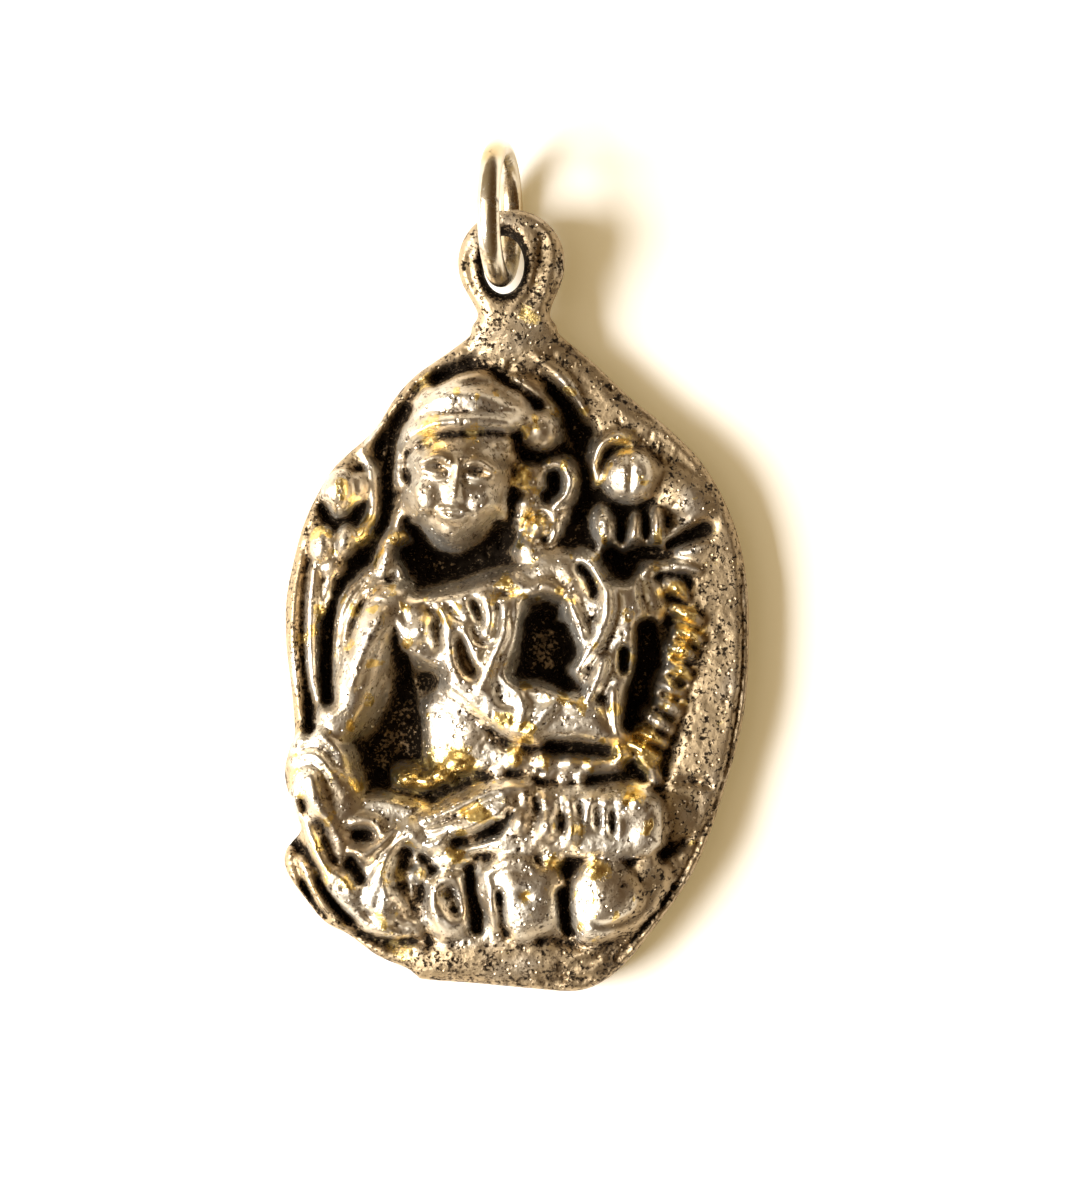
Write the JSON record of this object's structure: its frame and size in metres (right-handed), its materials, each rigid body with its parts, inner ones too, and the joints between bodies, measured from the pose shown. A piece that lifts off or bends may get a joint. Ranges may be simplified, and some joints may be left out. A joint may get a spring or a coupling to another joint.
{
  "type": "seated goddess pendant with jump ring",
  "caption": "Oval cast pendant with a goddess seated on a lotus in high relief, and a round wire jump ring through its top eye, ready to hang from a chain.",
  "frame": {"origin": "the point of the flat back (z = 0) behind the middle of the plate's width and height", "axes": "+Z out of the front, the figure's side; +Y up to the eye and the ring; +X to the viewer's right. The pendant lies on its back with the ring standing up in the eye"},
  "size_m": [0.0251, 0.0458, 0.0079],
  "materials": {
    "casting": "antique silver tone plating, blackened in the recesses, worn to brass on the high spots",
    "ring": "antique silver tone plating, lightly worn"
  },
  "bodies": {
    "pendant": {"pendant_casting": "casting"},
    "ring": {"jump_ring": "ring"}
  },
  "joints": [
    {"name": "ring_swing", "type": "hinge", "parent": "pendant", "child": "ring", "pos_m": [-0.00062, 0.02322, 0.0027], "axis": [-0.9848, 0, -0.1736], "range_deg": [0, 144]}
  ]
}
